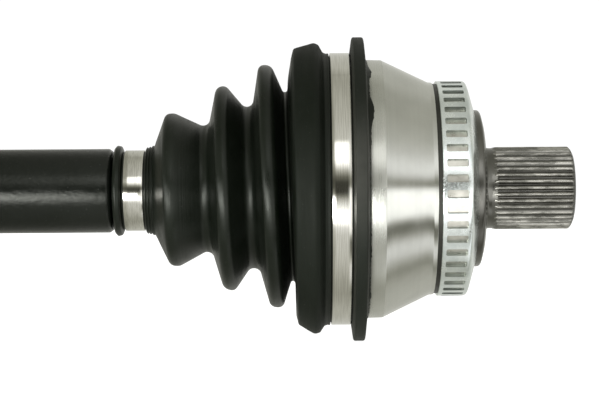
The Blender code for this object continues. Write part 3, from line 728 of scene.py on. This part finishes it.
INNER_SMALL = [
    (-102.0, CUFF_BORE), (-102.0, 16.1, 0.5), (-101.0, 17.0, 0.6), (-99.8, 16.7, 0.6), (-99.1, 14.6),
    (-90.7, 14.6), (-90.5, 16.0, 0.4), (-89.4, 16.3, 0.4), (-88.5, 17.2, 0.3), (-87.2, 17.5, 0.6),
]
INNER_BELLOWS = [
    (-87.2, 17.5, 0.6), (-83.0, 29.5, 2.4), (-73.5, 20.5, 2.0), (-66.5, 37.5, 2.8), (-57.5, 22.5, 2.0),
    (-50.5, 44.0, 2.8), (-41.5, 25.5, 1.9), (-36.0, 50.0, 2.4), (-29.9, 33.0, 1.0),
]
INNER_LARGE = [
    (-29.8, 34.0), (-29.2, 44.0), (-28.6, 45.6, 1.0), (-26.0, 47.0, 0.9), (-24.7, 45.2, 0.4),
    (-24.5, 43.9), (-16.3, 43.9), (-16.1, 46.4, 0.4), (-13.8, 46.4, 0.4), (-13.6, 43.4), (-13.6, 42.7),
]
INNER_SMALL_SEAT = [(-87.2, CUFF_BORE)]
INNER_LARGE_SEAT = [(-26.4, 42.7), (-27.4, 43.0), (-27.6, 43.2)]


def smooth_table(table, x):
    """Values of a table of (x, a, b) at x, joined smoothly and held beyond its ends."""
    if x <= table[0][0]:
        return table[0][1:]
    for left, right in zip(table, table[1:]):
        if x <= right[0]:
            t = (x - left[0]) / (right[0] - left[0])
            return [a + (b - a) * t * t * (3 - 2 * t) for a, b in zip(left[1:], right[1:])]
    return table[-1][1:]


def outer_shape(x, r, angle):
    """Rest shape of the wheel-end boot: leaning, lifted folds and the slight waves of soft rubber."""
    small_lip_x, folds_x, collar_x = -93.4, -81.0, -28.5
    lean, lift = smooth_table(OUTER_LEAN, x)
    across, up = math.cos(angle), math.sin(angle)
    wave = 0.0
    if folds_x < x < collar_x and r > 20:
        wave = 0.20 * noise.noise(Vector((x * 0.09, 1.1 * across, 1.1 * up + 3.0)))
    elif x < small_lip_x and r > 15:
        wave = 0.14 * noise.noise(Vector((x * 0.5, 2.6 * across, 2.6 * up)))
    return x - lean * r * up, r + wave + (lift * up if x > folds_x else 0.0)


def boot(name, pieces, outlines, seats, joint_x, side, shape=None):
    """A boot in pieces that meet ring to ring; gives back the pieces.

    Each piece is (suffix, body at its small end, body at its large end, start x, end x, x of the seam
    after it), in the outline's own direction.
    outlines are the small end, the bellows and the large end. seats are the small and the large end's
    inner points. side is -1 for a boot whose outline is mirrored.
    """
    small, bellows, large = outlines
    small_seat, large_seat = seats
    wall = 1.6
    fold = dense(fillet(bellows, 7.0), 0.7)
    inner = inward(fold, wall)
    cuff = dense(fillet(small), 1.5)[:-1]
    collar = dense(fillet(large), 1.5)

    def nearest(x):
        """Index of the bellows' point nearest to x."""
        return min(range(len(fold)), key=lambda i: abs(fold[i].x - x))

    cuts = [0, *(nearest(piece[-1]) for piece in pieces[:-1]), len(fold) - 1]
    made = []
    for number, (suffix, first, last, start, end, _) in enumerate(pieces):
        a, b = cuts[number], cuts[number + 1]
        line = fold[a:b + 1]
        back = inner[a:b + 1][::-1]
        if number == 0:
            line = cuff + line
            back = back[:-1] + [Vector(p) for p in small_seat]
        if number == len(pieces) - 1:
            line = line + collar[1:]
            back = [Vector(p) for p in large_seat] + back[1:]
        outline = [Vector((side * p.x, p.y)) for p in line + back]
        turned = lathe(f"{name}_{suffix}", outline, joint_x, RUBBER, 144, shape)
        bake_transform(turned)
        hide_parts(name)
        made.append(turned)
    return made


def make_outer_boot():
    """Wheel-end boot. The flat collar before its large clamp is duller than the folds and the lip."""
    pieces = [
        ("cuff", "shaft", "near_ball", -83.0, -62.3, -61.2),
        ("fold_1", "near_ball", "cage", -60.2, -54.6, -53.2),
        ("fold_2", "cage", "far_ball", -51.8, -45.2, -44.1),
        ("collar", "far_ball", "wheel_end", -43.0, -19.5, None),
    ]
    outlines = OUTER_SMALL, OUTER_BELLOWS, OUTER_LARGE
    seats = OUTER_SMALL_SEAT, OUTER_LARGE_SEAT
    made = boot("outer_boot", pieces, outlines, seats, WHEEL_X, 1.0, outer_shape)
    flat_start, flat_end = -28.6, -17.4
    paint_faces(made[-1], DULL_RUBBER, lambda face: flat_start < face.center.x / MM - WHEEL_X < flat_end)


def make_inner_boot():
    """Gearbox-end boot, whose outline is mirrored: its large end is on the left."""
    pieces = [
        ("cuff", "shaft", "side_roller", -87.0, -52.5, -51.5),
        ("collar", "side_roller", "gearbox_end", -50.5, -26.5, None),
    ]
    outlines = INNER_SMALL, INNER_BELLOWS, INNER_LARGE
    seats = INNER_SMALL_SEAT, INNER_LARGE_SEAT
    boot("inner_boot", pieces, outlines, seats, TRIPOD_X, -1.0)


def make_flash():
    """Rubber squeezed out beyond the boot's lip: a ragged film on the bell, widest on its upper front."""
    lip_x, bell_radius, least = -1.69, 48.93, 0.02
    # A bulge is (degrees round the axle, spread in degrees, reach) and a ripple is (reach, fineness).
    bulges = ((119, 6, 1.3), (131, 5, 0.5), (145, 7, 1.7), (158, 5, 0.5), (205, 9, 0.35), (232, 5, 0.5))
    ripples = ((0.28, 1.0), (0.26, 3.1), (0.22, 8.0))

    def ragged(x, r, angle):
        """Stretches the film's unit width to its reach at this angle."""
        turned = math.degrees(angle)
        place = Vector((11.0 * math.cos(angle), 11.0 * math.sin(angle), 0))
        reach = 0.26
        reach += sum(size * math.exp(-((turned - at) / spread) ** 2) for at, spread, size in bulges)
        reach += sum(size * noise.noise(place * fineness) for size, fineness in ripples)
        return x * max(reach, least), r

    section = [
        (0.0, bell_radius), (0.0, bell_radius + 0.19), (0.7, bell_radius + 0.15), (1.0, bell_radius),
    ]
    flash = lathe("boot_flash", section, WHEEL_X + lip_x, RUBBER, 720, ragged, sharp=60)
    put(flash, "wheel_end", "boot_rubber", "outer_boot")


# --- Clamps -------------------------------------------------------------------------------


def make_clamp(name, body, x0, x1, inner, outer, ear_height, ear_width, lap_end):
    """Band from x0 to x1: rounded edges, a lapped end that steps up, a pinched ear on the far side."""
    edge, lap_start, lap_step = 0.18, 20.0, 0.22
    ear_inset, foot, bend = 0.35, 1.2, 0.9
    corners = [(x0, inner), (x0, outer, edge), (x1, outer, edge), (x1, inner)]

    def lapped(x, r, angle):
        """The band's outer end lies over its inner one from the ear round to the lap's edge."""
        past = (angle - math.radians(lap_start)) % (2 * math.pi)
        over = past < math.radians(lap_end - lap_start) and r > (inner + outer) / 2
        return x, r + (lap_step if over else 0.0)

    band = lathe(f"{name}_band", dense(fillet(corners, 30.0), 2.0), 0.0, STRIP, 240, lapped, sharp=24)
    half = ear_width / 2
    top = outer + ear_height
    rising = [
        (-half - foot, outer + 0.15), (-half, outer + 0.25, bend), (-0.55 * half, outer + 1.0, 0.5 * bend),
        (-0.80 * half, top - 0.6, 0.7 * bend), (-0.45 * half, top, 0.6 * bend),
    ]
    falling = [(-y, z, *radius) for y, z, *radius in reversed(rising)]
    base = [Vector((half + foot, inner + 0.25)), Vector((-half - foot, inner + 0.25))]
    line = fillet(rising + falling, 20.0) + base
    ear = prism(f"{name}_ear", [(p.y, p.x) for p in line], x0 + ear_inset, x1 - ear_inset)
    ear.data.materials.append(STRIP)
    put(band, body, "clamp_steel", name)
    put(ear, body, "clamp_steel", name)


def make_clamps():
    """A large and a small band clamp for each boot."""
    large = {"ear_height": 3.9, "ear_width": 9.0, "lap_end": 128}
    small = {"ear_height": 3.2, "ear_width": 7.0, "lap_end": 78}
    clamps = [
        ("outer_boot_large_clamp", "wheel_end", WHEEL_X - 15.1, WHEEL_X - 7.9, 50.7, 51.4, large),
        ("outer_boot_small_clamp", "shaft", WHEEL_X - 92.6, WHEEL_X - 85.3, 14.8, 15.3, small),
        ("inner_boot_large_clamp", "gearbox_end", TRIPOD_X + 16.6, TRIPOD_X + 24.2, 44.2, 44.9, large),
        ("inner_boot_small_clamp", "shaft", TRIPOD_X + 91.2, TRIPOD_X + 98.8, 14.8, 15.3, small),
    ]
    for *place, sizes in clamps:
        make_clamp(*place, **sizes)


# --- Gearbox-end joint --------------------------------------------------------------------


def make_tulip():
    """Tripod housing: flange and barrel, three lobes outside, the bore and the rollers' tracks inside."""
    lobe, bore, track = 17.6, 25.8, 13.6
    holes, hole, bolt_circle = 6, 5.1, 47.0
    corners = [
        (-39.0, 40.0), (-39.0, 54.0, 0.9), (-29.0, 54.0, 0.9), (-29.0, 31.5, 2.0), (13.0, 31.5),
        (13.0, 42.0, 0.7), (26.0, 42.0), (26.0, 31.8, 0.5), (12.0, 26.0), (-36.4, 26.0), (-36.4, 40.0),
    ]
    tulip = lathe("tulip", dense(fillet(corners), 3.0), TRIPOD_X, FORGED_STEEL, 144)
    lobes = prism("lobes", circle(lobe, 72, ROLLER_PITCH), -31.0, 15.0, TRIPOD_X, copies=ROLLERS)
    boolean(tulip, lobes, "UNION")
    boolean(tulip, prism("bore", circle(bore, 96), -34.0, 18.0, TRIPOD_X), "DIFFERENCE")
    tracks = prism("tracks", circle(track, 64, ROLLER_PITCH), -44.0, 31.0, TRIPOD_X, copies=ROLLERS)
    boolean(tulip, tracks, "DIFFERENCE")
    bolts = prism("holes", circle(hole, 32, bolt_circle), -41.0, -27.0, TRIPOD_X, math.radians(30), holes)
    boolean(tulip, bolts, "DIFFERENCE")
    put(tulip, "gearbox_end", "forged_steel", "inner_joint_housing")


def make_cover():
    """Pressed, plated cover in the flange's end."""
    corners = [
        (-38.7, 0), (-38.7, 21.0, 1.5), (-38.0, 24.0, 1.5), (-38.8, 29.0, 1.5), (-38.8, 39.7, 0.5),
        (-36.7, 39.7), (-36.7, 0),
    ]
    cover = lathe("end_cover", dense(fillet(corners), 3.0), TRIPOD_X, ZINC, 120)
    put(cover, "gearbox_end", "zinc_plate", "inner_end_cover")


def make_rollers():
    """Barrel-shaped rollers of the tripod. The first one is the body between the bend and the plunge."""
    half_width, bore = 5.6, 9.9
    edge = math.degrees(math.asin(half_width / ROLLER_RADIUS))
    outline = [*arc(ROLLER_RADIUS, -edge, edge, 14), (half_width, bore), (-half_width, bore)]
    for k in range(ROLLERS):
        turn = Matrix.Rotation(2 * math.pi * k / ROLLERS, 3, "X") @ Matrix.Rotation(math.pi / 2, 3, "Z")
        centre = Vector((TRIPOD_X, 0, 0)) + turn @ Vector((ROLLER_PITCH, 0, 0))
        roller = lathe(f"roller_{k + 1}", outline, centre, BEARING, 96, turn=turn)
        put(roller, "side_roller" if k == 0 else "shaft", "bearing_steel", f"tripod_roller_{k + 1}")


def make_balls():
    """Balls of the wheel-end joint. The two on the Y axis are the bodies between its hinges."""
    bodies = ("far_ball", "cage", "cage", "near_ball", "cage", "cage")
    for k, body in enumerate(bodies):
        angle = 2 * math.pi * k / BALLS
        centre = Vector((WHEEL_X, BALL_PITCH * math.cos(angle), BALL_PITCH * math.sin(angle)))
        ball = lathe(f"ball_{k + 1}", arc(BALL_RADIUS, -90, 90, 28), centre, BEARING, 56)
        put(ball, body, "bearing_steel", f"outer_ball_{k + 1}")


def dress_frame():
    """Materials for the CAD nodes that still show."""
    looks = {
        "dark_steel": DARK_STEEL, "bearing_steel": BEARING, "zinc_plate": ZINC, "thrust_plastic": NYLON,
        "shaft_paint": PAINT, "turned_steel": BELL_STEEL, "forged_steel": FORGED_STEEL,
        "clamp_steel": STRIP, "boot_rubber": RUBBER,
    }
    for part in frame["record"]["subparts"]:
        data = frame["nodes"][part["node"]].data
        data.materials.clear()
        data.materials.append(looks[part["material_slot"]])


# --- Studio -------------------------------------------------------------------------------

# The studio as the axle reflects it. The angle runs round the axle, 0 towards the camera and 90
# straight up, and each pair gives the light's strength there: to the left of the camera, round it,
# and to its right.
LEFT_LIGHT = [
    (-180, 0.55), (-150, 0.45), (-120, 0.32), (-105, 0.31), (-80, 0.40), (-50, 0.52), (-34, 0.66),
    (-29, 1.2), (-25, 8.0), (-19, 15.0), (-13, 15.0), (-9, 7.5), (-6, 1.1), (-4, 0.35), (1, 0.12),
    (7, 0.10), (12, 0.20), (19, 0.36), (24, 0.56), (31, 0.58), (36, 0.42), (60, 0.38), (90, 0.35),
    (110, 0.34), (150, 0.45), (180, 0.55),
]
FRONT_LIGHT = [
    (-180, 0.75), (-150, 0.62), (-120, 0.56), (-98, 0.44), (-84, 0.50), (-66, 0.68), (-50, 0.80),
    (-38, 0.86), (-32, 1.1), (-27, 2.2), (-20, 2.2), (-15, 1.3), (-10, 0.70), (-6, 0.26), (-3, 0.06),
    (5, 0.06), (10, 0.20), (15, 0.62), (20, 1.6), (24, 2.4), (37, 2.4), (41, 0.78), (60, 0.66),
    (84, 0.55), (96, 0.50), (108, 0.46), (122, 0.62), (150, 0.66), (180, 0.75),
]
RIGHT_LIGHT = [
    (-180, 0.70), (-150, 0.60), (-118, 0.60), (-107, 0.50), (-97, 0.32), (-89, 0.55), (-79, 1.05),
    (-68, 1.10), (-60, 0.52), (-54, 0.22), (-45, 0.17), (-40, 0.60), (-36, 1.5), (-31, 1.7), (-6, 1.8),
    (-1, 1.3), (2, 0.45), (6, 0.30), (10, 0.46), (16, 0.95), (22, 1.2), (30, 1.15), (45, 0.84),
    (60, 0.64), (84, 0.50), (110, 0.50), (125, 0.60), (150, 0.62), (180, 0.70),
]
BRIGHTEST = 15.0


def light_ramp(n, share, bands):
    """Colour round the axle for one of the tables above; its walls are warmer than its lamps."""
    ramp = n.tree.nodes.new("ShaderNodeValToRGB")
    n.feed(ramp.inputs[0], share)
    stops = ramp.color_ramp.elements
    while len(stops) > 1:
        stops.remove(stops[-1])
    for k, (angle, level) in enumerate(bands):
        place = (angle + 180) / 360
        stop = stops[0] if k == 0 else stops.new(place)
        stop.position = place
        grey = level / BRIGHTEST
        warmth = min(0.80 + 0.2 * level, 1.0)
        stop.color = (grey, grey, grey * warmth, 1)
    return ramp.outputs[0]


def make_world():
    """White studio with long bands of light above and below the lens, and dark where the camera stands."""
    world = bpy.data.worlds.new("studio")
    bpy.context.scene.world = world
    world.use_nodes = True
    n = Nodes(world.node_tree)
    n.tree.nodes.clear()
    direction = n.add("ShaderNodeTexCoord").outputs["Generated"]
    x, y, z = n.add("ShaderNodeSeparateXYZ", Vector=direction).outputs
    height = n.math("ARCTAN2", z, n.times(y, -1.0))
    share = n.plus(n.math("DIVIDE", height, 2 * math.pi), 0.5)

    def sideways(low, high):
        """Rises smoothly from 0 to 1 between two places from left to right."""
        made = n.add("ShaderNodeMapRange", Value=x, From_Min=low, From_Max=high)
        made.interpolation_type = "SMOOTHSTEP"
        return made.outputs[0]

    left, front, right = (light_ramp(n, share, bands) for bands in (LEFT_LIGHT, FRONT_LIGHT, RIGHT_LIGHT))
    colour = n.mix(sideways(0.06, 0.20), n.mix(sideways(-0.17, -0.06), left, front), right)
    light = n.add("ShaderNodeBackground", Color=colour, Strength=BRIGHTEST)
    white = n.add("ShaderNodeBackground", Color=(1, 1, 1, 1), Strength=1.05)
    seen = n.add("ShaderNodeLightPath").outputs["Is Camera Ray"]
    which = n.add("ShaderNodeMixShader", Fac=seen)
    n.feed(which.inputs[1], light.outputs[0])
    n.feed(which.inputs[2], white.outputs[0])
    n.add("ShaderNodeOutputWorld", Surface=which.outputs[0])
    world.cycles.sampling_method = "MANUAL"
    world.cycles.sample_map_resolution = 2048


def make_floor():
    """Plain white floor. Only the camera sees it, so it throws no light back on the steel."""
    low = cad_box[0][2] / MM
    size = 6000.0
    corners = [(-size, -size, low), (size, -size, low), (size, size, low), (-size, size, low)]
    floor = mesh_object("floor", corners, [(0, 1, 2, 3)], None)
    material = bpy.data.materials.new("floor_white")
    material.use_nodes = True
    shader = material.node_tree.nodes["Principled BSDF"]
    shader.inputs["Base Color"].default_value = (0.5, 0.5, 0.5, 1)
    shader.inputs["Roughness"].default_value = 1.0
    shader.inputs["Specular IOR Level"].default_value = 0.0
    shader.inputs["Emission Color"].default_value = (1, 1, 1, 1)
    shader.inputs["Emission Strength"].default_value = 0.95
    floor.data.materials.append(material)
    floor.visible_glossy = False
    floor.visible_diffuse = False
    floor.visible_shadow = False


def make_camera():
    """Level view of the wheel end from the side, at arm's length, with a slight roll."""
    distance, width, roll = 722.0, 228.0, 0.4
    aim_x, aim_z = WHEEL_X - 26.6, -4.0
    data = bpy.data.cameras.new("camera")
    data.sensor_width = 36.0
    data.lens = data.sensor_width * distance / width
    data.clip_start = 0.01
    data.clip_end = 50.0
    camera = bpy.data.objects.new("camera", data)
    bpy.context.scene.collection.objects.link(camera)
    camera.location = Vector((aim_x, -distance, aim_z)) * MM
    camera.rotation_euler = (math.radians(90), math.radians(roll), 0)
    bpy.context.scene.camera = camera


make_shaft()
make_bell()
make_stub()
make_sensor_ring()
make_outer_boot()
make_flash()
make_inner_boot()
make_clamps()
make_tulip()
make_cover()
make_rollers()
make_balls()
dress_frame()
make_world()
make_floor()
make_camera()
bpy.context.scene.view_settings.view_transform = "Standard"
